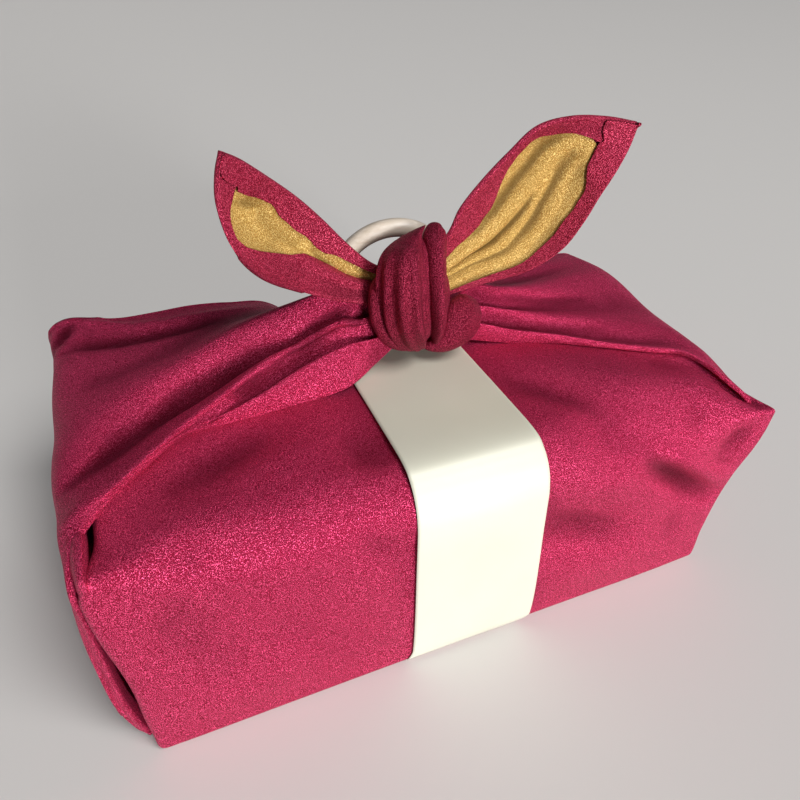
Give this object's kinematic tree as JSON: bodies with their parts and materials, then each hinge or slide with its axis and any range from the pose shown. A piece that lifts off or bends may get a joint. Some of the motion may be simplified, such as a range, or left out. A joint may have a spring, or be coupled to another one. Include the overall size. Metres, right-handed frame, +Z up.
{
  "type": "furoshiki wrap on a gift box",
  "caption": "Lined crepe furoshiki cloth tied with a knot and standing ears over a box, with a paper band and a ring handle.",
  "frame": {"origin": "under the middle of the box, on the surface that the wrapped box stands on", "axes": "+X along the box to the right seen from its front, +Y from the front to the back, +Z up through the knot"},
  "size_m": [0.2457, 0.1322, 0.1744],
  "materials": {
    "crimson_crepe": "crepe",
    "gold_lining": "crepe",
    "cream_paper": "smooth paper",
    "plain_card": "plain card",
    "pale_wood": "satin"
  },
  "bodies": {
    "root": {"wrap_cloth": "crimson_crepe", "left_lining": "gold_lining", "right_lining": "gold_lining", "paper_band": "cream_paper", "gift_box": "plain_card", "ring_handle": "pale_wood"}
  },
  "joints": []
}
